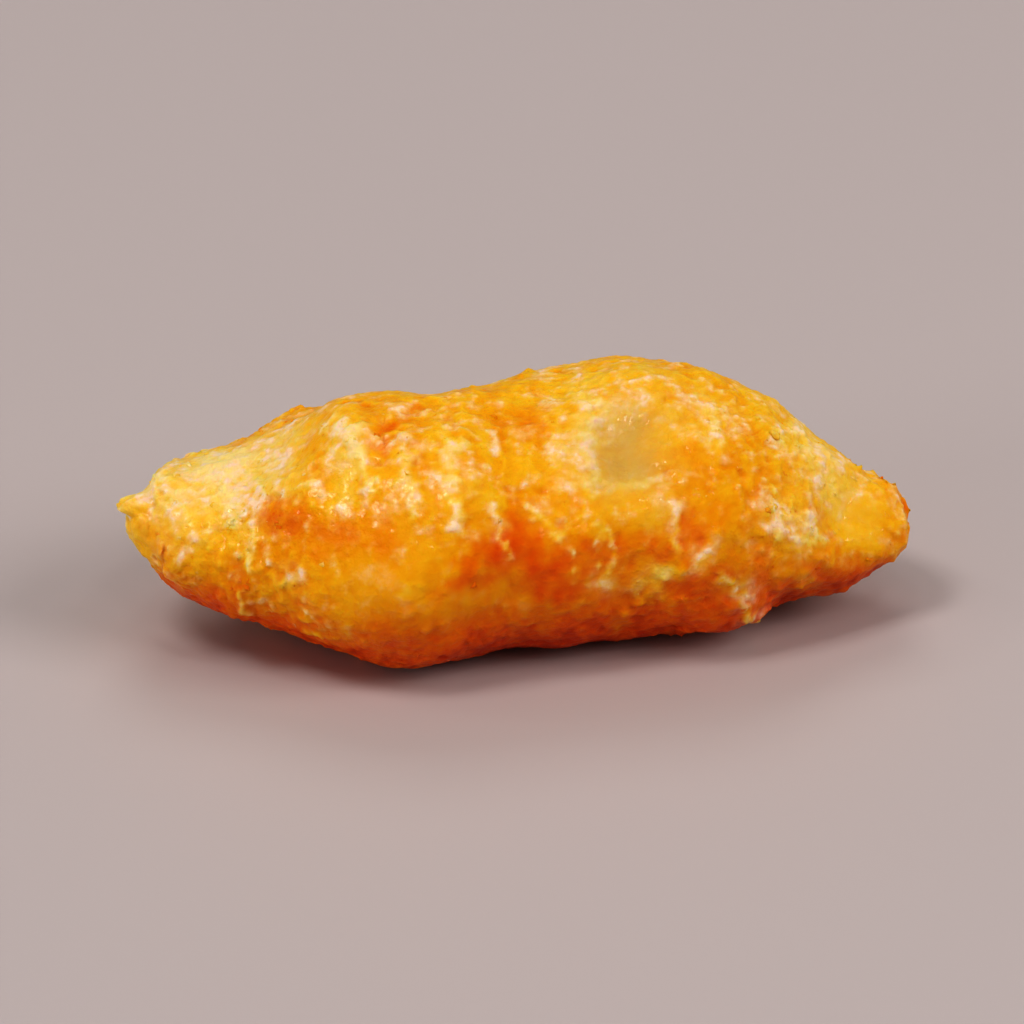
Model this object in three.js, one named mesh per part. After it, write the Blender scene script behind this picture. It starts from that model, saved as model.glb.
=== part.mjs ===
// A battered, deep-fried fish nugget: one solid piece, lying on its flattened underside.
// Millimetres, +Z up. X runs from the knobbly left tip to the blunt right tip, -Y is the front.
// The origin is at the middle of the footprint, on the surface that the nugget lies on.

import * as THREE from "three";
import { ImprovedNoise } from "three/addons/math/ImprovedNoise.js";
import { mergeVertices } from "three/addons/utils/BufferGeometryUtils.js";

// ---- Driving sizes -------------------------------------------------------------------------

const LENGTH = 75.4; // tip to tip
const WIDTH = 32.5; // front to back at the belly
const HEIGHT = 24.6; // underside to crest, before the underside is flattened
const SINK = 1.4; // how much of the underside is pressed flat where the nugget lies
const AROUND = 56; // facets round the spine
const ALONG = 84; // rings from tip to tip
const SAME_POINT = 1e-5; // points of the unit ball closer than this are one point
const GOLDEN_BATTER = 0xe9a02c;
const CRUST_ROUGHNESS = 0.5; // a little oil on a dry crust

// ---- The spindle ---------------------------------------------------------------------------

const HALF = LENGTH / 2;
const CREST_SHARPNESS = 0.12; // how much the top narrows towards a crest
const TIP_SHARPNESS = 0.52; // 0.5 closes the tips as on an ellipsoid, more makes them sharper

// Where the spine bends away from a straight line: place, reach, and how far to the back and up.
const BENDS = [
  { name: "left tip", x: -38, reach: 5, back: 0, up: 1 },
  { name: "left neck", x: -26, reach: 6, back: 0, up: -0.5 },
  { name: "belly", x: -12, reach: 12, back: -1.7, up: 0 },
  { name: "hump", x: 13, reach: 11, back: 1.9, up: 0.2 },
  { name: "right tip", x: 33.5, reach: 7, back: 0, up: -2.5 },
];

// Where the nugget is thicker or thinner than a plain spindle: place, reach and share.
const SWELLS = [
  { name: "left tip", x: -37, reach: 3, share: -0.2 },
  { name: "left neck", x: -26, reach: 6, share: -0.12 },
  { name: "belly", x: -13, reach: 8, share: 0.05 },
  { name: "waist", x: 0, reach: 7, share: -0.04 },
  { name: "hump", x: 16, reach: 8, share: 0.07 },
  { name: "right neck", x: 31, reach: 6, share: -0.07 },
  { name: "right tip", x: 37, reach: 2.5, share: -0.12 },
];

// ---- Lumps, hollows and folds --------------------------------------------------------------
// A turn is an angle in degrees round the spine: 0 faces the front, 90 up, 180 back, -90 down.

const LUMPS = [
  { name: "knob on the left tip", x: -36.5, turn: 40, reach: 2.2, rise: 0.8 },
  { name: "lip under the left tip", x: -34.5, turn: -10, reach: 2.6, rise: 0.9 },
  { name: "notch behind the lip", x: -31, turn: -40, reach: 2.4, rise: -0.6 },
  { name: "left flank", x: -27, turn: -20, reach: 4, rise: 0.7 },
  { name: "browned swelling", x: -21.5, turn: 40, reach: 4, rise: 0.8 },
  { name: "hollow left of the folds", x: -19.5, turn: 85, reach: 4, rise: -0.6 },
  { name: "belly front", x: -13, turn: -15, reach: 7, rise: 0.3 },
  { name: "saddle on the crest", x: -6, turn: 118, reach: 7, rise: -0.5 },
  { name: "crest hump", x: 10, turn: 120, reach: 9, rise: 0.7 },
  { name: "hollow above the flank", x: 8.5, turn: 51, reach: 3.8, rise: -1 },
  { name: "blister under the hollow", x: 4, turn: 4, reach: 4.5, rise: 0.3 },
  { name: "crease right of the blister", x: 11.5, turn: -8, reach: 3.5, rise: -0.7 },
  { name: "right flank", x: 19, turn: 20, reach: 5, rise: 0.8 },
  { name: "foot lump", x: 20.5, turn: -32, reach: 3.4, rise: 1.3 },
  { name: "notch right of the foot lump", x: 26, turn: -42, reach: 2.8, rise: -1.3 },
  { name: "smooth hollow at the right", x: 31, turn: 33, reach: 3, rise: -0.8 },
  { name: "lump on the right tip", x: 35.5, turn: 75, reach: 2.4, rise: 0.8 },
  { name: "lip on the right tip", x: 36, turn: -5, reach: 2.2, rise: 0.7 },
  { name: "back left swelling", x: -20, turn: 165, reach: 6, rise: 1 },
  { name: "back hollow", x: -4, turn: 178, reach: 5, rise: -1.2 },
  { name: "back swelling", x: 12, turn: 190, reach: 7, rise: 1.1 },
  { name: "back right hollow", x: 25, turn: 160, reach: 4.5, rise: -0.9 },
];

// Folds of batter that run down the front from the crest, each from a start to an end.
const FOLDS = [
  { from: { x: -17.5, turn: 100 }, to: { x: -13.5, turn: 42 }, reach: 2.1, rise: 0.9 },
  { from: { x: -10.5, turn: 98 }, to: { x: -9.5, turn: 40 }, reach: 1.9, rise: 0.7 },
  { from: { x: -5, turn: 104 }, to: { x: -5.5, turn: 26 }, reach: 2.1, rise: 0.9 },
  { from: { x: 3.5, turn: 84 }, to: { x: 6, turn: 28 }, reach: 2, rise: 0.8 },
  { from: { x: -24, turn: 130 }, to: { x: -14, turn: 188 }, reach: 2.4, rise: 0.8 },
  { from: { x: 2, turn: 140 }, to: { x: 5, turn: 205 }, reach: 2.4, rise: 0.8 },
  { from: { x: 19, turn: 128 }, to: { x: 24, turn: 195 }, reach: 2.4, rise: 0.7 },
];
const FOLD_STEPS = 10; // a fold is this many lumps in a row
const FOLD_FADE = 0.15; // a fold rises and falls along an arch, less this share at both its ends

// Unevenness all over: size of the swells and how far they stand in or out.
const WAVES = [
  { size: 10, rise: 1.1 },
  { size: 5, rise: 0.65 },
];

// ---- Shape functions -----------------------------------------------------------------------

const noise = new ImprovedNoise();

function bell(distance, reach) {
  return Math.exp(-((distance / reach) ** 2));
}

// The spine at a place along the length.
function spineAt(x) {
  const spine = new THREE.Vector3(x, 0, HEIGHT / 2 - SINK);
  for (const bend of BENDS) {
    spine.y += bend.back * bell(x - bend.x, bend.reach);
    spine.z += bend.up * bell(x - bend.x, bend.reach);
  }
  return spine;
}

// How thick the nugget is at a place along the length, as a share of its full thickness.
function girthAt(x) {
  const along = Math.min(1, Math.abs(x) / HALF);
  const closing = (1 - along ** 2) ** TIP_SHARPNESS;
  return SWELLS.reduce((girth, swell) => {
    return girth * (1 + swell.share * bell(x - swell.x, swell.reach));
  }, closing);
}

// The plain spindle's surface at a place along the length and a turn in radians.
function spindleAt(x, turn) {
  const girth = girthAt(x);
  const up = Math.max(0, Math.sin(turn));
  const halfWidth = (WIDTH / 2) * girth * (1 - CREST_SHARPNESS * up ** 2);
  const halfHeight = (HEIGHT / 2) * girth;
  const out = new THREE.Vector3(0, -halfWidth * Math.cos(turn), halfHeight * Math.sin(turn));
  return spineAt(x).add(out);
}

function placed({ x, turn, reach, rise }) {
  return { centre: spindleAt(x, THREE.MathUtils.degToRad(turn)), reach, rise };
}

// A fold as a row of overlapping lumps that fade out towards both ends.
function foldLumps({ from, to, reach, rise }) {
  return Array.from({ length: FOLD_STEPS + 1 }, (_, step) => {
    const share = step / FOLD_STEPS;
    return placed({
      x: THREE.MathUtils.lerp(from.x, to.x, share),
      turn: THREE.MathUtils.lerp(from.turn, to.turn, share),
      reach,
      rise: rise * Math.sin(Math.PI * THREE.MathUtils.lerp(FOLD_FADE, 1 - FOLD_FADE, share)),
    });
  });
}

// How far the surface stands out of the plain spindle at a point.
function reliefAt(point, lumps, folds) {
  let relief = 0;
  for (const wave of WAVES) {
    const at = point.clone().divideScalar(wave.size);
    relief += wave.rise * noise.noise(at.x, at.y, at.z);
  }
  for (const lump of lumps) {
    relief += lump.rise * bell(point.distanceTo(lump.centre), lump.reach);
  }
  for (const fold of folds) {
    relief += Math.max(...fold.map((f) => f.rise * bell(point.distanceTo(f.centre), f.reach)));
  }
  return relief;
}

// ---- The nugget ----------------------------------------------------------------------------

function nuggetGeometry() {
  const lumps = LUMPS.map(placed);
  const folds = FOLDS.map(foldLumps);

  const ball = new THREE.SphereGeometry(1, AROUND, ALONG);
  ball.deleteAttribute("normal");
  ball.deleteAttribute("uv");
  ball.rotateZ(-Math.PI / 2); // the poles become the tips
  const geometry = mergeVertices(ball, SAME_POINT);

  const position = geometry.getAttribute("position");
  const direction = new THREE.Vector3();
  for (let i = 0; i < position.count; i++) {
    direction.fromBufferAttribute(position, i);
    const x = HALF * direction.x;
    const turn = Math.atan2(direction.z, -direction.y);
    const surface = spindleAt(x, turn);
    const outward = new THREE.Vector3(
      direction.x / LENGTH,
      direction.y / WIDTH,
      direction.z / HEIGHT,
    ).normalize();
    surface.addScaledVector(outward, reliefAt(surface, lumps, folds));
    surface.z = Math.max(0, surface.z);
    position.setXYZ(i, surface.x, surface.y, surface.z);
  }

  geometry.computeBoundingBox();
  const middle = geometry.boundingBox.getCenter(new THREE.Vector3());
  geometry.translate(-middle.x, -middle.y, 0);
  geometry.computeVertexNormals();
  return geometry;
}

const nugget = new THREE.Mesh(
  nuggetGeometry(),
  new THREE.MeshStandardMaterial({ color: GOLDEN_BATTER, roughness: CRUST_ROUGHNESS, metalness: 0 }),
);
nugget.name = "nugget";

const part = new THREE.Group();
part.name = "fish_nugget";
part.add(nugget);

export default part;
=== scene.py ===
# %% [markdown]
# # A battered fish nugget
# A nugget is a finger of white fish that is dipped in wet batter and fried in deep oil. The batter
# sets as it meets the oil: it runs into folds, throws up grains and blisters, and browns where it
# stands proud. This lesson takes the plain spindle of the CAD model and gives it that crust. The
# first cell loads the model as a fixed frame, and every size below is measured from it.

# %% Load the frame
import math

import bmesh
import bpy
import numpy as np
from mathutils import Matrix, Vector, noise


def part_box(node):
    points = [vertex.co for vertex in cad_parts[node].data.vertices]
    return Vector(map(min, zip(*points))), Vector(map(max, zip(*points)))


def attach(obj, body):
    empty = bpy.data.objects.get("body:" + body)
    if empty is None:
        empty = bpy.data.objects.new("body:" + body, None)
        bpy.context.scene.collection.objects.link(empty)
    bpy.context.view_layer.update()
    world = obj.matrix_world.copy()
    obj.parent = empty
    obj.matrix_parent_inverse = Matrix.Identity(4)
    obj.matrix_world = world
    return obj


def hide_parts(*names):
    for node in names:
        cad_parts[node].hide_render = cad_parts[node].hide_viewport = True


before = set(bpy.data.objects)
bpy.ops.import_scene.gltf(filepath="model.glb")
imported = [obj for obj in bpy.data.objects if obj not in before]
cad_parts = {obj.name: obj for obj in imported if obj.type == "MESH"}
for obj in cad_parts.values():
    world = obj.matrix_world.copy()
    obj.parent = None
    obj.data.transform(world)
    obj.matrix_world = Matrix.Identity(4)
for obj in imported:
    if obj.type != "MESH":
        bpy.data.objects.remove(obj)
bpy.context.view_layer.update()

MM = 0.001  # the maker's sizes are in millimetres, and Blender's are in metres
low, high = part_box("nugget")
full_size = (high - low) / MM
print(f"nugget: {full_size.x:.1f} x {full_size.y:.1f} x {full_size.z:.1f} mm")

# %% [markdown]
# ## The camera
# The nugget is looked down on at 27 degrees, as a plate is by someone who sits before it. A long
# lens from over a metre away keeps its proportions plain: close up, a short lens would swell the
# belly. The camera circles 5 degrees to the left, so the right tip lies a little further off.

# %% Camera
AZIMUTH = math.radians(-5.3)
ELEVATION = math.radians(27)
DISTANCE = 1.22
FRAME_WIDTH = 1.28 * (high.x - low.x)  # how much of the table the camera takes in
AIM_DROP = 1.5 * MM  # the nugget sits a little above the middle of the view


def view_from(azimuth, elevation):
    """The direction from the nugget to the camera."""
    level = math.cos(elevation)
    return Vector((math.sin(azimuth) * level, -math.cos(azimuth) * level, math.sin(elevation)))


towards_camera = view_from(AZIMUTH, ELEVATION)
aim = (low + high) / 2 - Vector((0, 0, AIM_DROP))
camera = bpy.data.objects.new("camera", bpy.data.cameras.new("camera"))
bpy.context.scene.collection.objects.link(camera)
camera.location = aim + DISTANCE * towards_camera
camera.rotation_euler = towards_camera.to_track_quat("Z", "Y").to_euler()
camera.data.lens = camera.data.sensor_width * DISTANCE / FRAME_WIDTH
bpy.context.scene.camera = camera
print(f"lens: {camera.data.lens:.0f} mm at {DISTANCE:.2f} m")

# %% [markdown]
# ## An even skin
# The CAD model has about nine thousand facets, long ones in its middle and slivers at its tips.
# Relief needs points that are evenly spread, whichever way the surface faces. Sculpting on a
# subdivided copy would keep the slivers, so the copy is subdivided and smoothed first, and then
# voxel remeshed: that rebuilds it from cells of one size. Before the remesh, knobs of batter are
# laid on it as balls, because a remesh fuses whatever overlaps, as wet batter does.

# %% Copy the CAD nugget and smooth its facets
VOXEL = 0.3  # mm, the finest relief that the skin can carry is about three of these
SAME_PLACE = 0.001  # mm, corners of facets that lie closer than this are one point


def apply_modifiers(piece, *modifiers):
    """Give a piece some modifiers, and keep the mesh that they make of it."""
    for kind, settings in modifiers:
        modifier = piece.modifiers.new(kind.lower(), kind)
        for name, value in settings.items():
            setattr(modifier, name, value)
    graph = bpy.context.evaluated_depsgraph_get()
    mesh = bpy.data.meshes.new_from_object(piece.evaluated_get(graph))
    piece.modifiers.clear()
    piece.data = mesh


def new_piece(name, mesh):
    """A mesh as an object of the scene."""
    piece = bpy.data.objects.new(name, mesh)
    bpy.context.scene.collection.objects.link(piece)
    return piece


crust = new_piece("crust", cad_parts["nugget"].data.copy())
crust.data.materials.clear()
shape = bmesh.new()
shape.from_mesh(crust.data)
bmesh.ops.remove_doubles(shape, verts=shape.verts, dist=SAME_PLACE * MM)
shape.to_mesh(crust.data)
shape.free()
apply_modifiers(
    crust,
    ("SUBSURF", {"levels": 1, "render_levels": 1}),
    ("SMOOTH", {"factor": 0.5, "iterations": 12}),
)
print(f"smooth copy: {len(crust.data.vertices)} points")

# %% [markdown]
# ## Places on the crust
# A cook would point at the nugget and say: this far along, and this far round. Two numbers name
# every place here in the same way. The first is the distance along the spine in millimetres from
# the middle, and the second is the turn round it in degrees: 0 faces the front, 90 up, 180 the
# back and -90 down. Plain coordinates would do too, but they would have to be looked up for every
# fold. The spine is a smooth curve through the middles of thin slices.

# %% Measure the spine, and find places by their distance along it and turn round it
SLICE = 2.0  # mm
SIDEWAYS_BENDS, UPWARD_BENDS = 5, 4  # the degrees of the spine's two curves


def points_of(mesh):
    """A mesh's points in millimetres."""
    points = np.empty(3 * len(mesh.vertices))
    mesh.vertices.foreach_get("co", points)
    return points.reshape(-1, 3) / MM


def outward_of(mesh):
    """The direction that each point of a mesh faces."""
    outward = np.empty(3 * len(mesh.vertices))
    mesh.vertex_normals.foreach_get("vector", outward)
    return outward.reshape(-1, 3)


def measure_spine(points):
    """The spine's sideways and upward place along the nugget, as two smooth curves."""
    reach = full_size.x / 2 - 2 * SLICE
    stations = np.arange(-reach, reach, SLICE)
    middles = []
    for station in stations:
        ring = points[np.abs(points[:, 0] - station) < SLICE / 2]
        middles.append((ring.min(0) + ring.max(0)) / 2)
    middles = np.array(middles)
    sideways = np.polyfit(stations, middles[:, 1], SIDEWAYS_BENDS)
    upward = np.polyfit(stations, middles[:, 2], UPWARD_BENDS)
    return sideways, upward


spine_y, spine_z = measure_spine(points_of(crust.data))
print(f"spine rises to {np.polyval(spine_z, 0):.1f} mm at its middle")


def turn_of(points):
    """Each point's turn round the spine, in degrees."""
    forward = np.polyval(spine_y, points[:, 0]) - points[:, 1]
    up = points[:, 2] - np.polyval(spine_z, points[:, 0])
    return np.degrees(np.arctan2(up, forward))


def nearest_place(points, turns, x, turn):
    """Which point lies at a distance along the spine and a turn round it."""
    girth = np.hypot(points[:, 1] - np.polyval(spine_y, x), points[:, 2] - np.polyval(spine_z, x))
    swing = np.radians((turns - turn + 180) % 360 - 180)
    return int(np.argmin((points[:, 0] - x) ** 2 + (girth * swing) ** 2))


# %% [markdown]
# ## Knobs of batter
# Where batter drips or gathers it sets as a knob. Knobs could be carved by displacing the skin,
# but a displaced point only moves straight out, and a knob overhangs. So each is a small ball with
# an uneven surface, sunk into the crust, which the remesh then fuses with the rest. Calling
# Blender's icosphere operator for each would be slow, so one ball is made and its points are
# copied, stretched and turned in numbers.

# %% One uneven ball of batter
rng = np.random.default_rng(7)
UNEVENNESS = 0.8  # share of its radius by which noise dents a ball or swells it
BUMPINESS = 1.9  # about how many bumps there are to a radius
LEAST_STRETCH = (0.8, 0.8, 0.55)  # along the crust, across and out of it
MOST_STRETCH = (1.5, 1.2, 0.95)


def ball(fineness):
    """A unit ball of triangles: its points, and the three corners of each face."""
    shape = bmesh.new()
    bmesh.ops.create_icosphere(shape, subdivisions=fineness, radius=1.0)
    shape.verts.index_update()
    unit = np.array([vert.co[:] for vert in shape.verts])
    corners = np.array([[vert.index for vert in face.verts] for face in shape.faces])
    shape.free()
    return unit, corners


def clod(unit, centre, facing, radius):
    """The points of an uneven ball of batter, flattened on the crust and turned at random."""
    stretch = rng.uniform(LEAST_STRETCH, MOST_STRETCH)
    shift = rng.uniform(-50, 50, 3)
    dents = np.array([noise.noise(Vector(BUMPINESS * point + shift)) for point in unit])
    side = np.cross(facing, rng.normal(size=3))
    side /= np.linalg.norm(side)
    axes = np.array([side, np.cross(facing, side), facing])
    uneven = unit * stretch * (1 + UNEVENNESS * dents[:, None])
    return centre + radius * uneven @ axes


def clods(fineness, centres, facings, radii):
    """Many balls of batter: all their points, and the corners of all their faces."""
    unit, corners = ball(fineness)
    made = [clod(unit, *seat) for seat in zip(centres, facings, radii)]
    faces = [corners + number * len(unit) for number in range(len(made))]
    return np.concatenate(made), np.concatenate(faces)


print(f"a ball has {len(ball(1)[1])} faces at fineness 1 and {len(ball(2)[1])} at fineness 2")


# %% Lay knobs on the copy and fuse all of it
NAMED_KNOBS = [
    # x, turn, radius in mm
    (-36.9, 107, 1.2),
    (-34.6, 112, 0.6),
    (-34.4, 12, 0.9),
    (-33.6, -14, 0.8),
    (37.4, 45, 0.8),
    (37.6, 15, 0.8),
    (36.2, 70, 0.5),
    (33.8, 97, 0.75),
    (32.4, 101, 0.6),
    (29.6, 103, 0.5),
    (20.2, -19, 1.3),
    (21.6, -25, 1.5),
    (22.6, -33, 1.1),
    (-26.6, -16, 0.8),
    (-19.5, -22, 1.0),
]
KNOBS = 900
KNOB_FINENESS = 2  # of the ball that a knob is made from, which then has 80 faces
KNOB_SIZES = (0.35, 0.8)  # mm, smallest and largest radius
KNOB_SINK = 0.35  # share of its radius that a knob's middle lies under the crust
KNOBS_ABOVE = 1.0  # mm above the table
GATHERING = [(1, 7, 1), (0.5, 2.5, 2)]  # strength, size in mm and seed of each layer of noise


def soft_noise(at, size, seed, octaves=1):
    """Noise of about -1 to 1 at every point, with swells of a size in millimetres."""
    shift = Vector((31.7, 11.3, 5.9)) * seed
    if octaves == 1:
        return np.array([noise.noise(Vector(p) / size + shift) for p in at])
    return np.array([noise.fractal(Vector(p) / size + shift, 1.0, 2.0, octaves) for p in at])


def layered_noise(at, layers):
    """Noises added up, each with its strength, its size in millimetres and its seed."""
    return sum(strength * soft_noise(at, size, seed) for strength, size, seed in layers)


def lay_knobs(points, outward):
    """The named knobs, and small ones where a slow noise says that batter gathered."""
    turns = turn_of(points)
    named = [nearest_place(points, turns, x, turn) for x, turn, _ in NAMED_KNOBS]
    gathered = layered_noise(points, GATHERING)
    likely = np.clip(gathered, 0, None) * (points[:, 2] > KNOBS_ABOVE)
    at = np.concatenate([named, rng.choice(len(points), KNOBS, p=likely / likely.sum())])
    small, large = KNOB_SIZES
    scattered = small + (large - small) * rng.random(KNOBS) ** 2
    radii = np.concatenate([[radius for _, _, radius in NAMED_KNOBS], scattered])
    middles = points[at] - KNOB_SINK * radii[:, None] * outward[at]
    return clods(KNOB_FINENESS, middles, outward[at], radii)


def mesh_of(name, points, faces):
    """A mesh from points in millimetres and the corners of its faces."""
    mesh = bpy.data.meshes.new(name)
    mesh.from_pydata((points * MM).tolist(), [], faces.tolist())
    return mesh


shape = bmesh.new()
shape.from_mesh(crust.data)
shape.from_mesh(mesh_of("knobs", *lay_knobs(points_of(crust.data), outward_of(crust.data))))
shape.to_mesh(crust.data)
shape.free()
apply_modifiers(
    crust,
    ("REMESH", {"mode": "VOXEL", "voxel_size": VOXEL * MM}),
    ("SMOOTH", {"factor": 0.5, "iterations": 2}),
)
print(f"even skin: {len(crust.data.polygons)} faces")

# %% [markdown]
# ## Maps of the crust
# Everything that follows is told by maps: a number at each point of the skin for how grainy,
# floury, browned or glassy it is there. The same maps move the surface and colour it, so that a
# cream ridge is both raised and pale. Maps could be painted with a brush, but then nobody could
# read in the script what was painted. So a map is built from patches and strokes, each at a
# listed place, and from noise, which makes their edges wander.

# %% Make the edges of maps wander
WANDERING = [(1.3, 3.4, 1), (0.6, 1.1, 41)]  # how far and over what size in mm, and the first seed

points = points_of(crust.data)
turns = turn_of(points)


def wander_along(axis):
    """How far in mm, along one axis, noise pushes the place at which a map is read."""
    return layered_noise(points, [(far, size, seed + axis) for far, size, seed in WANDERING])


wander = np.stack([wander_along(axis) for axis in range(3)], axis=1)
wandering = points + wander
ragged = np.clip(0.8 + 0.8 * soft_noise(points, 1.3, 8), 0.3, 1.6)  # how wide a stroke is here
broken = np.clip(0.9 + 0.9 * soft_noise(points, 1.6, 9), 0.2, 1.3)  # how strong it is here
print(f"edges wander by up to {np.abs(wander).max():.1f} mm")

# %% Patches and strokes
TURN_STEP = 5  # a stroke is split at about every 5 degrees of turn and every millimetre along


def bell(distance, reach):
    """1 at no distance, fading to 0 past the reach."""
    return np.exp(-((distance / reach) ** 2))


def place(x, turn):
    """Where a distance along the spine and a turn round it lie, after the wandering."""
    return wandering[nearest_place(points, turns, x, turn)]


def patch(x, turn, reach):
    """A round patch with a wandering edge."""
    return bell(np.linalg.norm(wandering - place(x, turn), axis=1), reach)


def stroke(route, reach):
    """A stroke along a route over the crust, or a patch at its one place, with a ragged edge."""
    stops = []
    for (x0, turn0), (x1, turn1) in zip(route, route[1:]):
        steps = max(2, round(math.hypot(x1 - x0, (turn1 - turn0) / TURN_STEP)))
        for share in np.linspace(0, 1, steps, endpoint=False):
            stops.append(place(x0 + (x1 - x0) * share, turn0 + (turn1 - turn0) * share))
    stops.append(place(*route[-1]))
    nearest = np.linalg.norm(wandering - stops[-1], axis=1)
    for a, b in zip(stops, stops[1:]):
        run = b - a
        share = np.clip(((wandering - a) @ run) / max(run @ run, 1e-9), 0, 1)
        nearest = np.minimum(nearest, np.linalg.norm(wandering - a - share[:, None] * run, axis=1))
    fineness = min(1, 1 / reach)  # broad strokes are less ragged and less broken
    return bell(nearest, reach * ragged**fineness) * broken**fineness


def between(values, start, end):
    """0 below start, 1 above end, and a smooth step between them."""
    share = np.clip((values - start) / (end - start), 0, 1)
    return share * share * (3 - 2 * share)


print(f"a patch fades to {bell(1, 1):.2f} at its reach and to {bell(2, 1):.2f} at twice its reach")


# %% Grains
COARSE_GRAIN, FINE_GRAIN = 1.15, 0.75  # mm across
LOWEST_GRAIN = 0.35  # its height, where the tallest grain's is 1
STEEPNESS = 2.2  # how fast a grain rises from the groove round it
FAR_APART = 37.0  # spreads the grains' middles, so that each reads a random height of its own


def grains(size, seed):
    """Grains packed side by side, each about a size across: from 0 between them to 1 on the tallest."""
    shift = Vector((7.1, 23.9, 13.3)) * seed
    tops = np.empty(len(points))
    for i, p in enumerate(points):
        near, centres = noise.voronoi(Vector(p) / size + shift)
        from_groove = near[1] - near[0]  # 0 halfway between the middles of two grains
        tall = LOWEST_GRAIN + (1 - LOWEST_GRAIN) * noise.cell(centres[0] * FAR_APART)
        tops[i] = tall * min(1.0, from_groove * STEEPNESS)
    return np.sqrt(np.clip(tops, 0, 1))


coarse = grains(COARSE_GRAIN, 1)
fine = grains(FINE_GRAIN, 2)
print(f"{len(points)} points, and coarse grains stand {coarse.mean():.2f} of the tallest on average")

# %% [markdown]
# ## Where the batter is grainy and where glassy
# The left end took more loose flour and is grainy, and so are the top of the right end and the
# lower edge. The belly and a window right of the middle are smooth and glassy, where wet batter
# slid down and set like a jelly, and in the window it is clear enough to show the pale fish. Flour
# that never mixed in leaves milky patches, and a few small pale patches on the belly are painted
# highlights, where its oil glints. The far side has grain and glass where a slow noise puts them.
# The underside, which lay deepest in the oil, is a map of its own, which the colours read: it is
# browner, and painted shade makes it darker and redder still. A rule could hardly say where flour
# sticks, so the front has its patches listed one by one.

# %% Grainy, glassy and clear patches
GRAINY = [
    # x, turn, reach in mm, amount
    (-31, 110, 9, 0.9),
    (-28, 70, 8, 0.9),
    (-27, 35, 6, 0.8),
    (-24, 8, 5, 0.6),
    (-20, -12, 5, 0.5),
    (24, 80, 9, 0.6),
    (30, 60, 7, 0.6),
    (27, 14, 4, 0.5),
    (35, 30, 4, 0.9),
    (12, -5, 4, 0.3),
    (-30, -20, 4, 0.6),
    (-20, -30, 6, 0.7),
    (-6, -34, 6, 0.5),
    (10, -28, 6, 0.5),
    (28, -25, 4, 0.5),
    (19, 62, 3, 0.5),
]
GLASSY = [
    (9.5, 43, 4.2, 0.85),
    (5, 28, 2.5, 0.6),
    (10, 20, 3.5, 0.6),
    (-13, 5, 6.0, 0.8),
    (-6, -3, 4.5, 0.7),
    (32.5, 28, 3.8, 0.8),
    (-35.5, 25, 3.0, 0.7),
    (26.5, -10, 3.0, 0.6),
    (-8, 30, 3.0, 0.4),
    (16.5, 42, 2.6, 0.6),
    (-19, 88, 2.4, 0.8),
    (18, 16, 3.5, 0.6),
    (-1, 8, 5.0, 0.6),
    (6, 4, 4.0, 0.5),
]
CLEAR = [(9.6, 36, 3.6, 0.9), (10.2, 50, 3.4, 0.9)]  # jelly thin enough to show the pale fish
print(f"{len(GRAINY)} grainy, {len(GLASSY)} glassy and {len(CLEAR)} clear patches")

# %% Patches of flour that never mixed in, and of painted highlights
FLOUR_AND_GLINT_PATCHES = [
    # x, turn, reach in mm, amount
    (-32, 78, 4.5, 0.6),
    (-27, 95, 6.0, 0.8),
    (-24, 66, 4.0, 0.95),
    (-27, 58, 2.0, 0.6),
    (-33.5, 66, 3.0, 0.8),
    (-24, 102, 3.4, 0.95),
    (-25.5, 30, 1.4, 0.7),
    (-16, 66, 2.6, 0.6),
    (-6.8, 42, 2.0, 0.7),
    (-2.6, 20, 0.9, 0.7),
    (6.6, 46, 2.4, 0.9),
    (10, 30, 1.6, 0.6),
    (14, 17, 1.6, 0.8),
    (18.0, 64, 2.8, 1.0),
    (10, 66, 2.6, 0.6),
    (24, 20, 2.0, 0.9),
    (27, 11, 1.6, 0.9),
    (21, -14, 1.6, 0.8),
    (21.8, -30, 1.4, 0.7),
    # this and the next three are painted highlights, white where the oily belly glints
    (7.6, -5, 1.2, 0.8),
    (12.8, -4, 1.4, 0.8),
    (16.6, 3, 1.3, 0.8),
    (-22.3, 4, 1.2, 0.7),
    (30, 58, 4.2, 0.7),
]
print(f"{len(FLOUR_AND_GLINT_PATCHES)} patches of flour")

# %% Paint the patches
def painted(patches):
    """The map that a list of patches makes together, where overlapping ones don't add up past 1."""
    left_out = np.ones(len(points))
    for x, turn, reach, amount in patches:
        left_out *= 1 - amount * patch(x, turn, reach)
    return 1 - left_out


def away_from(turn):
    """How many degrees each point lies round the spine from a turn, either way."""
    return np.abs((turns - turn + 180) % 360 - 180)


BARE_GRAIN = 0.22  # how grainy the crust is where nothing else is said
FACING = 30  # the turn that faces the camera, more or less
DOWN = -90  # the turn of the underside

behind = between(away_from(FACING), 85, 120)  # 1 on the far side
below = 1 - between(away_from(DOWN), 50, 96)  # 1 on the underside
below *= 1 - 0.8 * between(-points[:, 0], 31, 36)  # but little at the left tip, which is raised
glassy = np.clip(painted(GLASSY) + behind * between(soft_noise(points, 8, 11), 0.05, 0.5), 0, 1)
grainy = BARE_GRAIN + painted(GRAINY) + 0.7 * behind * between(soft_noise(points, 9, 12), -0.05, 0.4)
grainy = np.clip(grainy, 0, 1) * (1 - 0.9 * glassy)
clear = painted(CLEAR)
flour_and_glints = painted(FLOUR_AND_GLINT_PATCHES)
for title, values in (("glassy", glassy), ("grainy", grainy), ("clear", clear), ("flour_and_glints", flour_and_glints)):
    print(f"{title}: {values.mean():.3f} of the crust")
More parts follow.
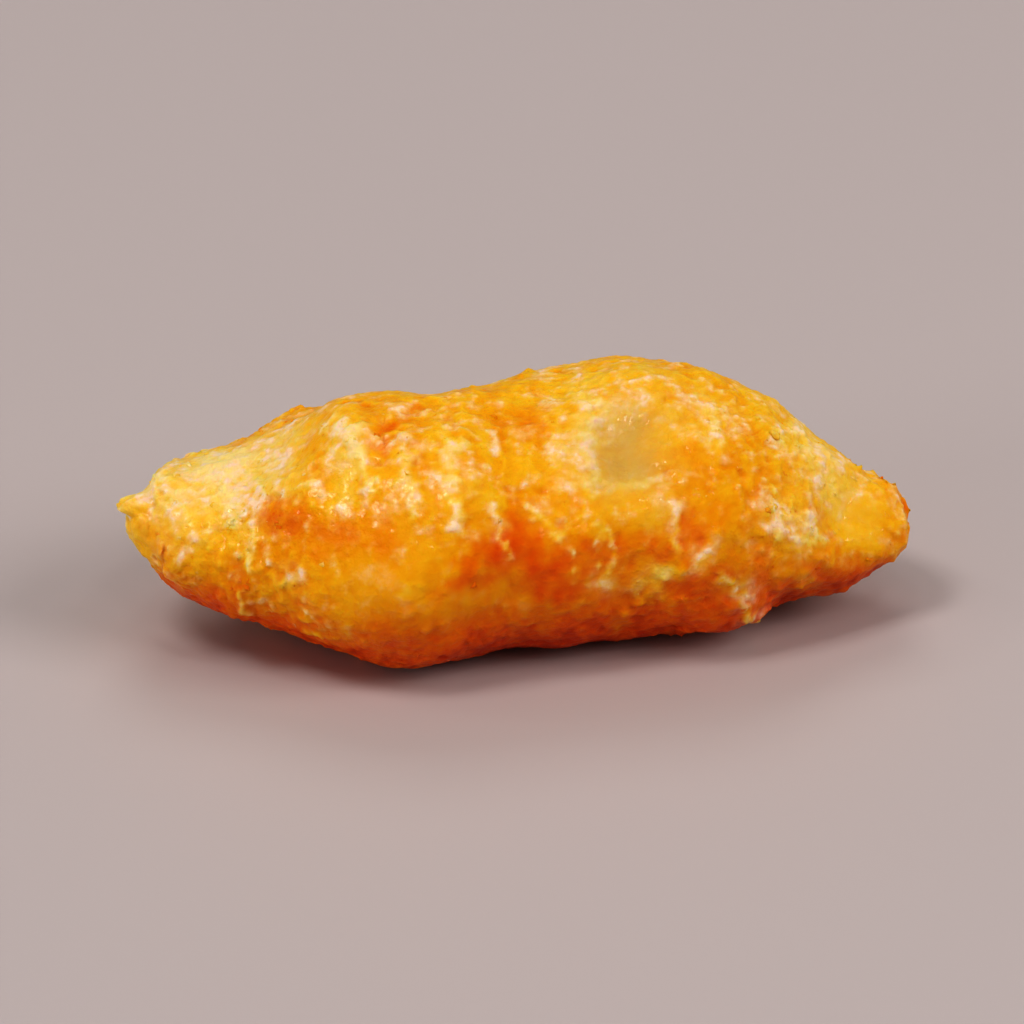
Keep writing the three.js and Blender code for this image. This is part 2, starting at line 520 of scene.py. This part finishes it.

# %% [markdown]
# ## Folds and creases
# Batter runs while it sets, so folds hang down the front from the crest, with creases between
# them. Rods could be fused with the skin, as the knobs are, but a crease can't be laid on, and a
# fold's sides slope gently. So each is a stroke with a height in millimetres, below 0 for a
# crease, and with how much paler it is than the rest, below 0 where it is browner. A crease is
# browner partly in its own colour and partly as painted shade.

# %% Folds and creases
FOLDS = [
    # route of (x, turn), reach in mm, height in mm, how much paler
    ([(-17, 90), (-15.6, 66), (-14.4, 46)], 1.1, 0.42, 0.16),
    # this crease and the next, by the crest, are browner partly as a painted shadow of another nugget lying
    # above
    ([(-13.6, 96), (-12.9, 72), (-12.6, 54)], 0.9, -0.34, -0.16),
    ([(-9.0, 92), (-12.0, 76)], 0.8, -0.30, -0.2),
    ([(-11.2, 70), (-10.9, 50), (-10.7, 32)], 0.9, 0.28, 0.14),
    ([(-6.6, 70), (-6.9, 50), (-6.8, 22)], 0.9, 0.36, 0.16),
    ([(-3.0, 28), (-2.2, 14)], 0.5, 0.26, 0.20),
    ([(-1.8, 15), (-1.6, 9)], 0.4, 0.2, 0.24),
    ([(0.8, 24), (3.2, 13)], 0.5, 0.22, 0.22),
    ([(4.4, 8), (4.4, -3)], 0.35, 0.18, 0.22),
    ([(6.4, 16), (6.8, 2)], 0.35, 0.16, 0.2),
    ([(7.8, 14), (8.1, -3)], 0.35, 0.18, 0.22),
    ([(-4.4, 60), (-3.6, 36)], 0.9, -0.15, -0.10),
    ([(3.4, 70), (3.4, 30)], 1.1, 0.18, 0.04),
    ([(7.4, 70), (6.3, 46), (6.8, 28)], 1.4, 0.34, 0.22),
    ([(7.6, 27), (12.5, 30)], 0.8, 0.26, 0.16),
    ([(8.5, 66), (12.5, 66)], 1.4, 0.18, 0.08),
    ([(14.2, 21), (14.0, 8)], 0.6, 0.24, 0.26),
    ([(24.0, 32), (23.7, 10)], 0.9, 0.30, 0.20),
    ([(25.8, 9), (28.6, 9), (27.2, 17)], 0.9, 0.28, 0.22),
    ([(21.6, 26), (21.8, 2)], 0.9, -0.15, -0.08),
    ([(18.6, -6), (20.8, -14), (21.6, -34), (21.8, -50)], 0.9, 0.45, 0.30),
    ([(24.8, -16), (25.2, -45)], 1.0, -0.35, -0.12),
    ([(-26.9, -8), (-26.2, -24)], 0.6, 0.34, 0.24),
    ([(-29.6, -4), (-28.8, -26)], 0.8, -0.30, -0.12),
    ([(-35.6, -8), (-34.4, -6), (-33.8, 16)], 0.6, -0.5, -0.08),
    ([(-27.6, 62), (-27.2, 30)], 1.0, 0.20, 0.12),
    ([(-25.2, 26), (-25.8, 8)], 0.6, 0.24, 0.22),
    ([(-24.4, 48), (-19.2, 46)], 0.9, 0.18, 0.10),
    ([(-9, 98), (-8, 84)], 1.2, 0.2, 0.0),
    ([(27, 96), (25, 66)], 1.3, 0.22, 0.08),
    ([(19.2, 78), (18.6, 52)], 1.3, 0.22, 0.12),
    ([(-30, 150), (-22, 172), (-19, 200)], 1.0, 0.40, 0.14),
    ([(-12, 140), (-8, 170), (-9, 205)], 0.9, 0.45, 0.16),
    ([(-5, 145), (-3, 175), (-5, 200)], 0.8, -0.3, -0.10),
    ([(0, 150), (4, 175), (2, 198)], 0.8, 0.35, 0.14),
    ([(14, 140), (17, 168), (13, 200)], 1.0, 0.45, 0.16),
    ([(20, 140), (21, 175)], 0.8, -0.3, -0.10),
    ([(26, 135), (28, 170), (24, 200)], 0.9, 0.36, 0.14),
]

strokes = [stroke(route, reach) for route, reach, _, _ in FOLDS]
fold_height = sum(height * where for (_, _, height, _), where in zip(FOLDS, strokes))
fold_paleness = sum(paler * where for (_, _, _, paler), where in zip(FOLDS, strokes))
pale_folds = [where for (_, _, _, paler), where in zip(FOLDS, strokes) if paler > 0]
print(f"{len(strokes)} folds and creases, from {fold_height.min():.2f} to {fold_height.max():.2f} mm")

# %% [markdown]
# ## Relief
# The relief is added up in layers: slow swells, folds and drips, packed grains in two sizes,
# crumbled batter, and a few pores where steam broke out. Together they move a point straight out
# or in by less than a millimetre, so the nugget keeps the size of its CAD model. Wide hollows then
# slim the tips, and the left tip is drawn back round its knob. Doing this in numbers rather than
# with stacked Displace modifiers lets every layer read the maps above.

# %% Layers of relief
HOLLOWS = [
    # x, turn, reach in mm, depth in mm
    (-35.0, -25, 2.4, 0.5),
    (35.4, 85, 3.4, 1.2),
    (38.0, 40, 2.0, 0.4),
]
SWELLS = [(0.28, 5.5, 4), (0.18, 2.6, 5)]  # height and size in mm, and seed
DRIP_HEIGHT = 0.16  # mm, as are the next four
CRUMBLE_HEIGHT = 0.09
COARSE_HEIGHT = 0.20
FINE_HEIGHT = 0.15
PORE_DEPTH = 0.3
PORES_APART = 3.1  # mm
PORE_REACH = 0.14  # share of the distance between pores
DEEPEST, HIGHEST = -0.9, 0.8  # mm that a point may move, apart from the hollows

hollows = sum(deep * patch(x, turn, reach) for x, turn, reach, deep in HOLLOWS)
to_pore = [noise.voronoi(Vector(p) / PORES_APART + Vector((4, 4, 4)))[0][0] for p in points]
pores = bell(np.array(to_pore), PORE_REACH)
swells = layered_noise(points, SWELLS)
stretched = (points + 0.9 * wander) / (1, 5, 5)  # noise read at these points is stretched down the sides
drips = 1 - 2.2 * np.abs(soft_noise(stretched, 1.7, 6))
drips *= bell(points[:, 0] + 6, 14) * bell(turns - 62, 40)  # most of them left of the middle, near the crest
crumble = 1 - 2 * np.abs(soft_noise(points + 0.4 * wander, 1.7, 7, octaves=3))
detail = DRIP_HEIGHT * drips + CRUMBLE_HEIGHT * crumble * (1 - 0.8 * glassy)
detail += COARSE_HEIGHT * grainy * (coarse - 0.5)
detail += FINE_HEIGHT * (0.3 + 0.7 * grainy) * (fine - 0.5) * (1 - 0.85 * glassy)
detail += fold_height * (0.3 + 0.8 * coarse)
detail -= PORE_DEPTH * pores * (1 - glassy)
rise = np.clip(swells + detail, DEEPEST, HIGHEST) - hollows
print(f"relief from {rise.min():.2f} to {rise.max():.2f} mm")

# %% Move the skin
TIP_DRAW = 1.3  # mm that the left tip is drawn back round its knob
TIP_FROM, TIP_TO = 33, 37  # mm from the middle, where the drawing back starts and is full
TIP_KNOB = NAMED_KNOBS[0]
KNOB_FROM, KNOB_TO = 1.2, 2.0  # mm from the knob's middle, likewise

moved = points + rise[:, None] * outward_of(crust.data)
knob_x, knob_turn, _ = TIP_KNOB
to_knob = points - points[nearest_place(points, turns, knob_x, knob_turn)]
round_knob = between(np.linalg.norm(to_knob, axis=1), KNOB_FROM, KNOB_TO)  # 0 on the knob
moved[:, 0] += TIP_DRAW * between(-points[:, 0], TIP_FROM, TIP_TO) * round_knob
moved[:, 2] = np.maximum(moved[:, 2], 0.0)
crust.data.vertices.foreach_set("co", (moved * MM).ravel())
crust.data.update()
print(f"skin now reaches from {moved[:, 0].min():.1f} to {moved[:, 0].max():.1f} mm along")

# %% [markdown]
# ## Colour maps
# Fried batter browns along one line of colours, from cream through straw, gold and amber to
# chestnut. So one number says the colour of each point, its tone: 0 is darkest and 1 palest. A
# whole colour could be kept instead, but then every layer would have to mix colours, where now it
# adds or takes away. The top is paler than the underside, which is partly browner and partly
# painted shade. What stands proud is paler than the hollows, which are found by comparing each
# point with the mean of its neighbours and are darkened and reddened as painted shade. Milk goes
# beside the tone as a map of its own, because dry flour whitens batter without changing how brown
# it is; in a few places it paints highlights instead.

# %% Paler and browner places
TONES = [
    # route of (x, turn), reach in mm, how much paler, below 0 where it is browner
    ([(-35, 105), (-31, 80), (-30, 60)], 5.0, 0.27),
    ([(-27, 105), (-24, 62)], 3.4, 0.25),
    ([(-23, 112), (-21, 98)], 2.4, 0.14),
    ([(-30, 46), (-29, 34)], 2.5, -0.06),
    ([(28, 24), (29, 14)], 2.0, -0.1),
    ([(-28, 28), (-25, 22)], 2.4, 0.1),
    ([(-32.4, 110), (-31.8, 74)], 0.9, -0.14),
    ([(-19.6, 98), (-18.8, 62)], 1.3, -0.08),
    ([(-18, 58), (-16, 46)], 2.4, 0.12),
    ([(-36.5, 45), (-34.5, 5)], 2.6, -0.1),
    ([(-35, -14), (-33, -34)], 3.0, 0.11),
    # a painted highlight, where the oily batter glints
    ([(-22.3, 4)], 1.0, 0.22),
    ([(-20.5, -12)], 1.2, 0.15),
    ([(-28, 6), (-27, -6)], 1.8, -0.12),
    ([(-15, 68), (-15, 54)], 1.4, 0.1),
    ([(-9, 56), (-3, 54)], 1.6, 0.1),
    ([(-23.8, 37), (-22, 30)], 2.2, -0.24),
    ([(-20, 25), (-13, 21)], 2.2, -0.14),
    # a painted highlight, where the oily belly glints
    ([(-11.5, 6)], 1.0, 0.15),
    # the crest is browner here, partly in its own colour and partly as a painted shadow of another nugget
    # lying on it
    ([(-10, 96), (-2, 94)], 4.5, -0.06),
    ([(-10, 62), (-8, 56)], 2.6, -0.13),
    ([(0, 64), (3, 76)], 3.0, -0.1),
    ([(2.6, 28)], 2.0, -0.08),
    ([(-3.4, 46), (-3.0, 34)], 1.3, 0.1),
    ([(-5.5, 8), (-1.6, 14), (3.5, -4)], 2.2, -0.36),
    ([(-1.2, 20), (-1.4, 32)], 1.2, -0.14),
    ([(-13, -16), (-2, -14)], 2.5, -0.08),
    ([(4.2, 72), (4.2, 22)], 1.3, 0.05),
    ([(5, 20), (13, 19)], 1.3, 0.06),
    ([(5, 8), (13, 7)], 2.0, -0.20),
    ([(4.6, -2)], 0.8, 0.18),
    # this and the next two are painted highlights, white where the oily belly glints
    ([(7.6, -5)], 1.0, 0.36),
    ([(12, -5), (14, -2)], 1.3, 0.32),
    ([(16.6, 3)], 1.3, 0.34),
    ([(16.5, 24), (20, 14)], 3.0, -0.07),
    ([(15, 12), (15.6, -8), (18, -6)], 2.4, -0.17),
    ([(15, 66), (15, 50)], 1.3, 0.1),
    ([(21.4, 12), (21.2, 2)], 1.2, 0.1),
    ([(20.5, 46), (21.5, 34)], 2.0, -0.1),
    ([(16.0, 46), (16.4, 32)], 1.6, -0.06),
    ([(18.6, 72), (18.6, 52)], 1.8, 0.12),
    ([(29, 88), (31, 48)], 5.5, 0.20),
    ([(26, 48), (24, 34)], 1.6, -0.05),
    ([(33, 40), (32, 8)], 3.2, 0.04),
    ([(35, 55), (36, 20)], 2.5, -0.04),
    ([(37.8, 60), (38.2, 0)], 1.4, -0.18),
    ([(36.4, 8), (36.0, -20)], 1.8, -0.08),
    ([(-19.5, -22)], 1.2, 0.2),
    ([(33.8, 97)], 1.2, -0.30),
    ([(18, -2), (26, -6), (31, -12)], 2.5, -0.12),
    ([(27, -12), (27, -50)], 1.3, 0.10),
    ([(-25, -14), (-23, -34)], 2.5, 0.07),
    ([(-18, -20), (-18, -36)], 2.2, 0.08),
    ([(25.5, -4), (27, -18)], 2.0, 0.08),
    ([(-34, 80), (-33, 60)], 2.5, 0.06),
    ([(3, 92), (12, 88)], 3.0, 0.08),
    ([(-3, 10), (8, 5)], 2.4, -0.05),
    ([(0, -30)], 9.0, -0.06),
]
print(f"{len(TONES)} paler and browner places")


# %% Find the hollows
def averaged(values):
    """A map in which each point takes the mean of its neighbours' values."""
    a, b = edges.T
    total = np.bincount(a, values[b], len(values)) + np.bincount(b, values[a], len(values))
    return total / np.bincount(edges.ravel(), minlength=len(values))


edges = np.empty(2 * len(crust.data.edges), np.int32)
crust.data.edges.foreach_get("vertices", edges)
edges = edges.reshape(-1, 2)
mean_place = np.stack([averaged(axis) for axis in moved.T], axis=1)
sunken = averaged(np.sum((mean_place - moved) * outward_of(crust.data), axis=1)) / VOXEL
print(f"hollows from {np.percentile(sunken, 2):.3f} to {np.percentile(sunken, 98):.3f} voxels")

# %% Work out the tone of every point
BASE_TONE = 0.64
CLOUDS = [(0.07, 5.0, 21), (0.06, 2.2, 22)]  # how much paler or browner, size in mm, and seed
STREAKS = 0.07  # the same for streaks down the sides
TOP = 0.03  # how much paler the top is than the front
UNDERSIDE_BROWNING_AND_SHADE = 0.51  # how much darker and redder the underside is: browner crust and painted shade
FAR_UNDERSIDE = 0.23  # how much less so on the far side
FAR_CLOUDS = 0.12  # how much paler or browner wide clouds on the far side are
RELIEF = 0.12  # how much paler a proud place is, and browner a low one, partly as painted shade
LEVEL = 0.45  # how proud a place is that is neither raised nor sunken

proud = between(detail, -0.25, 0.35)
tone = layered_noise(points, CLOUDS) + STREAKS * soft_noise(stretched, 0.9, 25)
tone = BASE_TONE + tone * (1 - 0.5 * glassy) * (1 + 0.6 * below)
# the underside is darker and redder, partly browner crust and partly painted shade, less so on the far side
tone += TOP * between(turns, 25, 95) - (UNDERSIDE_BROWNING_AND_SHADE - FAR_UNDERSIDE * behind) * below
tone += FAR_CLOUDS * behind * soft_noise(points, 8.0, 23)
# low places and hollows are made browner and redder: painted shade
tone += RELIEF * (1 + below) * (proud - LEVEL) - 0.5 * np.clip(sunken, -0.1, 0.15)
tone += sum(paler * stroke(route, reach) for route, reach, paler in TONES)
tone += fold_paleness * (0.35 + 0.9 * proud)
print(f"tone from {np.percentile(tone, 1):.2f} to {np.percentile(tone, 99):.2f}")

# %% Work out where the batter is milky
BASE_MILK = 0.07
CURDS = 0.65  # how much milk lies in curds, that is, in lumps that noise puts anywhere
FLOUR_AND_GLINT_MILK = 0.48  # how much lies in the patches of flour and of painted highlights
FOLD_MILK = 0.3  # how much lies on the grains of pale folds

curds = 1.6 * soft_noise(wandering, 1.8, 27) + 0.6 * soft_noise(points, 0.9, 28)
milky = BASE_MILK + CURDS * curds + 0.3 * (proud - LEVEL) + 0.6 * (fine - 0.55)
milky *= between(tone, 0.4, 0.8) * (1 - 0.8 * glassy)  # none where it is brown, little in jelly
milky = np.maximum(milky, 0) + FLOUR_AND_GLINT_MILK * flour_and_glints * np.clip(0.7 + curds, 0.2, 1.2)
milky += FOLD_MILK * np.max(pale_folds, axis=0) * coarse
print(f"milky: {milky.mean():.3f} of the crust")


# %% Keep the maps with the crust
def store(mesh, **maps):
    """Keep maps with a mesh, as one number for each point."""
    for name, values in maps.items():
        mesh.attributes.new(name, "FLOAT", "POINT").data.foreach_set("value", np.clip(values, 0, 1))


store(crust.data, tone=tone, glassy=glassy, clear=clear, milky=milky)
print(f"maps kept with {len(crust.data.vertices)} points")


# %% [markdown]
# ## Crumbs
# Drops of batter that fly off in the oil set as crumbs and settle on the crust, most where it is
# grainy. They have sharp feet and cast small shadows, which relief alone can't do, so they are a
# mesh of their own: the same uneven balls as the knobs, sunk two thirds of their radius deep,
# coarse ones with 80 faces each and fine ones with 20. Each takes the crust's maps from its seat
# and is paler on top than at its foot, where painted shade darkens and reddens it, and a few are
# much paler than the rest.

# %% Scatter crumbs on the crust
CRUMBS = [
    # fineness of the ball, how many, smallest and largest radius in mm
    (2, 360, 0.25, 0.5),
    (1, 500, 0.14, 0.26),
]
CRUMB_SINK = 0.68  # share of its radius that a crumb's middle lies under the crust
BARE_BELOW = 0.7  # mm above the table, below which the crust is bare
STRAYS = 0.02  # how likely a crumb is where the crust is neither grainy nor folded
ON_FOLDS = 0.4  # how much likelier on a fold or a crease

seats = points_of(crust.data)
facing = outward_of(crust.data)
gathered = np.clip(0.5 + soft_noise(seats, 2.2, 31), 0, 1)
likely = (STRAYS + grainy**2 + ON_FOLDS * np.max(strokes, axis=0)) * gathered * (0.2 + proud)
likely *= seats[:, 2] > BARE_BELOW
likely /= likely.sum()


def scatter(fineness, number, small, large):
    """Crumbs of one fineness: their points, their faces and the seat of each point."""
    at = rng.choice(len(seats), number, p=likely)
    radii = small + (large - small) * rng.random(number) ** 2
    made, faces = clods(fineness, seats[at] - CRUMB_SINK * radii[:, None] * facing[at], facing[at], radii)
    return made, faces, np.repeat(at, len(made) // number)


coarse_crumbs, fine_crumbs = (scatter(*kind) for kind in CRUMBS)
crumb_mesh = mesh_of(
    "crumbs",
    np.concatenate([coarse_crumbs[0], fine_crumbs[0]]),
    np.concatenate([coarse_crumbs[1], fine_crumbs[1] + len(coarse_crumbs[0])]),
)
seat_of = np.concatenate([coarse_crumbs[2], fine_crumbs[2]])
lift = np.sum((points_of(crumb_mesh) - seats[seat_of]) * facing[seat_of], axis=1)  # mm above the crust
luck = rng.random(len(seats))[seat_of] ** 4  # the same for all points of a crumb, and seldom high
# painted shade: a crumb is darker and redder towards its foot, where its lift above the crust is small
crumb_tone = tone[seat_of] - 0.05 + 0.3 * luck + 0.5 * (lift - 0.15)
store(crumb_mesh, tone=crumb_tone, glassy=0.5 * glassy[seat_of], milky=0.3 * milky[seat_of] + 0.3 * luck)
crumbs = new_piece("crumbs", crumb_mesh)
print(f"crumbs: {len(crumb_mesh.polygons)} faces")

# %% [markdown]
# ## The crust's material
# Fried batter is a starch jelly under a thin film of oil. Light goes in and comes out warmer, so
# the shader scatters it below the surface, red furthest, and a coat stands for the oil. The
# colours run along one ramp from chestnut to cream, as browning does backwards. Milk white is
# mixed in where flour stayed dry, in small granules, and on a few painted highlights, and olive
# where the jelly shows the fish.
# Roughness and bump follow the maps: grains are dull and rough, glassy batter is smooth and
# shines. Crumbs scatter light less far than the crust, because they are so much thinner.

# %% Colours of fried batter
def linear(level):
    """A level of a colour on a screen, from 0 to 255, as the light that it stands for, from 0 to 1."""
    level /= 255  # what follows is sRGB, the usual curve of screens
    return level / 12.92 if level <= 0.04045 else ((level + 0.055) / 1.055) ** 2.4


def tint(red, green, blue):
    """A colour as a paint chart gives it, from 0 to 255, in the linear light that shaders use."""
    return linear(red), linear(green), linear(blue), 1


# the darkest stops serve the browned underside and the painted shade on it
CHESTNUT = tint(198, 60, 0)
RUST = tint(227, 95, 0)
AMBER = tint(233, 127, 0)
GOLD = tint(237, 158, 2)
STRAW = tint(242, 184, 28)
BUTTER = tint(244, 202, 80)
CREAM = tint(247, 218, 138)
OLIVE = tint(200, 170, 98)
# milk white is for dry flour and for a few painted highlights
MILK = tint(248, 214, 180)
BROWNING = [(0, CHESTNUT), (0.2, RUST), (0.4, AMBER), (0.55, GOLD), (0.7, STRAW), (0.85, BUTTER), (1, CREAM)]
print(f"{len(BROWNING)} colours from chestnut to cream")


# %% Helpers for nodes
def add_node(tree, kind, inputs=None, **settings):
    """A shader node with its settings and unlinked inputs."""
    made = tree.nodes.new(kind)
    for name, value in settings.items():
        setattr(made, name, value)
    for name, value in (inputs or {}).items():
        made.inputs[name].default_value = value
    return made


def read_map(tree, name):
    """A stored map as a number for other nodes."""
    return add_node(tree, "ShaderNodeAttribute", attribute_name=name).outputs["Fac"]


def sums(tree, operation, *values):
    """One sum of two or three numbers, each a node's output or a plain value."""
    made = add_node(tree, "ShaderNodeMath", operation=operation)
    for socket, value in zip(made.inputs, values):
        if isinstance(value, bpy.types.NodeSocket):
            tree.links.new(value, socket)
        else:
            socket.default_value = value
    return made.outputs[0]


def speckle(tree, at, size, detail=2.0):
    """Noise from 0 to 1 with lumps of a size in millimetres."""
    made = add_node(tree, "ShaderNodeTexNoise", {"Scale": 1 / (size * MM), "Detail": detail})
    tree.links.new(at, made.inputs["Vector"])
    return made.outputs["Fac"]


def mixed(tree, share, first, second):
    """Two colours mixed by a share, each a node's output or a plain colour."""
    # a Mix node has sockets for numbers and colours: colours go in at 6 and 7, and come out at 2
    made = add_node(tree, "ShaderNodeMix", data_type="RGBA")
    tree.links.new(share, made.inputs["Factor"])
    for socket, value in ((made.inputs[6], first), (made.inputs[7], second)):
        if isinstance(value, bpy.types.NodeSocket):
            tree.links.new(value, socket)
        else:
            socket.default_value = value
    return made.outputs[2]


def ramp(tree, value, stops):
    """A ramp of colours along a number."""
    made = add_node(tree, "ShaderNodeValToRGB")
    elements = made.color_ramp.elements
    while len(elements) < len(stops):
        elements.new(0.5)
    for element, (position, colour) in zip(elements, stops):
        element.position = position
        element.color = colour
    tree.links.new(value, made.inputs[0])
    return made.outputs["Color"]


# %% Fried batter
SPECKLE_DEPTH = 0.07  # how much of a tone the speckles are paler or browner
FROTH = 0.75  # mm across a bubble
BUMP = 0.2  # mm
OILINESS = 0.3
DULL, SHINY = (0.5, 0.5, 0.5, 1), (0.25, 0.25, 0.25, 1)  # roughness of grainy and of glassy batter


def fried_batter(name, depths):
    """The crust's finish, mixed by the maps. Depths are how far in red, green and blue go, in mm."""
    material = bpy.data.materials.new(name)
    material.use_nodes = True
    tree = material.node_tree
    skin = tree.nodes["Principled BSDF"]
    at = add_node(tree, "ShaderNodeTexCoord").outputs["Object"]
    tone, glassy, clear, milky = (read_map(tree, title) for title in ("tone", "glassy", "clear", "milky"))
    coarse_speckle = speckle(tree, at, 0.9, 3)
    fine_speckle = speckle(tree, at, 0.3, 2)

    speckles = sums(tree, "MULTIPLY_ADD", fine_speckle, 0.5, coarse_speckle)
    speckles = sums(tree, "SUBTRACT", speckles, 0.75)  # on the whole 0
    speckles = sums(tree, "MULTIPLY", speckles, SPECKLE_DEPTH)
    evenness = sums(tree, "MULTIPLY_ADD", glassy, -0.6, 1.0)
    shade = sums(tree, "MULTIPLY_ADD", speckles, evenness, tone)
    colour = ramp(tree, shade, BROWNING)
    granules = sums(tree, "MULTIPLY_ADD", coarse_speckle, 4.5, -1.25)  # milk gathers on small granules
    colour = mixed(tree, sums(tree, "MULTIPLY", milky, granules), colour, MILK)
    colour = mixed(tree, sums(tree, "MULTIPLY", clear, 0.75), colour, OLIVE)
    tree.links.new(colour, skin.inputs["Base Color"])

    dullness = ramp(tree, glassy, [(0, DULL), (1, SHINY)])
    tree.links.new(dullness, skin.inputs["Roughness"])

    froth = {"Scale": 1 / (FROTH * MM), "Smoothness": 0.5}
    bubbles = add_node(tree, "ShaderNodeTexVoronoi", froth, feature="SMOOTH_F1")
    tree.links.new(at, bubbles.inputs["Vector"])
    height = sums(tree, "MULTIPLY_ADD", bubbles.outputs["Distance"], -0.6, coarse_speckle)
    height = sums(tree, "MULTIPLY_ADD", fine_speckle, 0.6, height)
    height = sums(tree, "MULTIPLY", height, evenness)
    bump = add_node(tree, "ShaderNodeBump", {"Strength": 1.0, "Distance": BUMP * MM})
    tree.links.new(height, bump.inputs["Height"])
    tree.links.new(bump.outputs["Normal"], skin.inputs["Normal"])

    skin.inputs["Subsurface Weight"].default_value = 0.6
    skin.inputs["Subsurface Radius"].default_value = depths
    skin.inputs["Subsurface Scale"].default_value = 1.0 * MM
    skin.inputs["Specular IOR Level"].default_value = 0.08
    skin.inputs["Coat Weight"].default_value = OILINESS
    skin.inputs["Coat Roughness"].default_value = 0.1
    return material


for piece, depths in ((crust, (0.6, 0.28, 0.08)), (crumbs, (0.08, 0.06, 0.04))):
    piece.data.materials.append(fried_batter(f"{piece.name} of fried batter", depths))
    piece.data.polygons.foreach_set("use_smooth", [True] * len(piece.data.polygons))
    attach(piece, "root")
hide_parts("nugget")
print("the crust and the crumbs ride on the body root")

# %% [markdown]
# ## Table and light
# A plain pale table. The main light comes from the upper left in front, as from a window, a weak
# lamp behind lights the crest, and two wide ones fill the shadows from the right and the left. The
# left one is low, so it stands far off, where the bright spot that it makes on the table is out of
# view. A wide lamp would veil oily batter with one broad reflection, so of these four only the
# main one shows in it. Five small weak lamps give the glints, each on the grains that face it.

# %% Table
TABLE = tint(190, 179, 178)
HALF = 6.0  # m, half the table's width, so large that its edge is far off in a low view

table_mesh = bpy.data.meshes.new("table")
corners = [(-HALF, -HALF, 0), (HALF, -HALF, 0), (HALF, HALF, 0), (-HALF, HALF, 0)]
table_mesh.from_pydata(corners, [], [(0, 1, 2, 3)])
table = new_piece("table", table_mesh)
table_finish = bpy.data.materials.new("pale table")
table_finish.use_nodes = True
top = table_finish.node_tree.nodes["Principled BSDF"]
top.inputs["Base Color"].default_value = TABLE
top.inputs["Roughness"].default_value = 0.6
table_mesh.materials.append(table_finish)
print(f"table: {2 * HALF:.0f} m wide")

# %% Lamps
LAMPLIGHT = (1.0, 0.98, 0.96)
LAMPS = [
    # name, azimuth, elevation, distance and width in m, power in W, whether oily batter mirrors it
    ("window", -60, 62, 1.1, 0.3, 2.7, True),
    ("rim", 178, 48, 1.0, 0.4, 1.3, False),
    ("right fill", 62, 36, 1.2, 0.6, 4.5, False),
    ("left fill", -68, 9, 6.0, 2.0, 84, False),
]
for azimuth, elevation in ((-25, 78), (35, 62), (-105, 42), (5, 50), (75, 30)):
    LAMPS.append((f"glint {azimuth}", azimuth, elevation, 1.1, 0.09, 0.28, True))


def lamp(name, azimuth, elevation, distance, width, power, mirrored):
    """A square lamp that looks at the nugget from a direction, and is itself out of every view."""
    light = bpy.data.lights.new(name, "AREA")
    light.size = width
    light.energy = power
    light.color = LAMPLIGHT
    holder = bpy.data.objects.new(name, light)
    bpy.context.scene.collection.objects.link(holder)
    direction = view_from(math.radians(azimuth), math.radians(elevation))
    holder.location = direction * distance
    holder.rotation_euler = direction.to_track_quat("Z", "Y").to_euler()
    holder.visible_camera = False
    holder.visible_glossy = mirrored


for row in LAMPS:
    lamp(*row)
print(f"{len(LAMPS)} lamps")

# %% Sky
SKYLIGHT = 0.18
sky = bpy.data.worlds.new("sky")
sky.use_nodes = True
sky.node_tree.nodes["Background"].inputs["Color"].default_value = (*LAMPLIGHT, 1)
sky.node_tree.nodes["Background"].inputs["Strength"].default_value = SKYLIGHT
bpy.context.scene.world = sky
bpy.context.scene.view_settings.view_transform = "Standard"
bpy.context.scene.view_settings.look = "High Contrast"
print(f"sky: {SKYLIGHT:.2f}")
